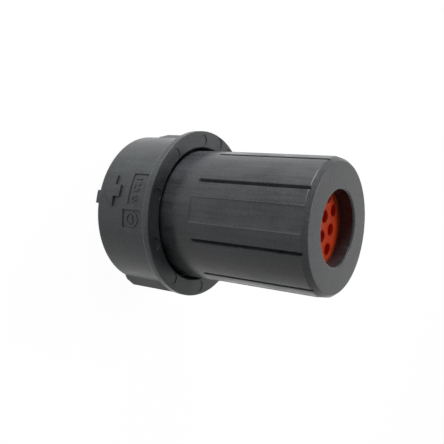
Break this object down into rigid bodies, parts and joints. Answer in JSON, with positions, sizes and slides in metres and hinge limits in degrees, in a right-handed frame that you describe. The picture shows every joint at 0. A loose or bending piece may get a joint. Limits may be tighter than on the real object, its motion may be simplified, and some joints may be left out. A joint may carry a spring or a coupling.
{
  "type": "circular electrical connector plug",
  "caption": "Round grey plastic cable plug with a quarter-turn bayonet ring, a fluted rear body, an orange wire seal and socket contacts inside.",
  "frame": {"origin": "centre of the mating nose's rim, on the plane that the plug stands on", "axes": "+Z along the plug's axis from the mating nose to the wire end; -Y through the main keyway and the flat that faces the picture's camera; +X follows by the right-hand rule"},
  "size_m": [0.038, 0.038, 0.0515],
  "materials": {
    "shell_plastic": "satin moulded thermoplastic",
    "ring_plastic": "matt moulded thermoplastic",
    "insert_plastic": "matt moulded thermoplastic",
    "seal_silicone": "soft satin silicone",
    "contact_alloy": "nickel-plated copper alloy",
    "sleeve_steel": "drawn stainless",
    "spring_steel": "hardened spring strip"
  },
  "bodies": {
    "plug": {"plug_shell": "shell_plastic", "wave_washer": "spring_steel", "retaining_ring": "spring_steel", "peripheral_seal": "seal_silicone", "face_seal": "seal_silicone", "front_insert": "insert_plastic", "retention_plate": "insert_plastic", "rear_insert": "insert_plastic", "wire_seal": "seal_silicone", "socket_contact_1": "contact_alloy", "socket_contact_2": "contact_alloy", "socket_contact_3": "contact_alloy", "socket_contact_4": "contact_alloy", "socket_contact_5": "contact_alloy", "socket_contact_6": "contact_alloy", "socket_contact_7": "contact_alloy", "socket_contact_8": "contact_alloy", "socket_contact_9": "contact_alloy", "contact_sleeve_1": "sleeve_steel", "contact_sleeve_2": "sleeve_steel", "contact_sleeve_3": "sleeve_steel", "contact_sleeve_4": "sleeve_steel", "contact_sleeve_5": "sleeve_steel", "contact_sleeve_6": "sleeve_steel", "contact_sleeve_7": "sleeve_steel", "contact_sleeve_8": "sleeve_steel", "contact_sleeve_9": "sleeve_steel"},
    "ring": {"coupling_ring": "ring_plastic"}
  },
  "joints": [
    {"name": "ring_turn", "type": "hinge", "parent": "plug", "child": "ring", "pos_m": [0, 0, 0.0109], "axis": [0, 0, -1], "range_deg": [0, 90]}
  ]
}
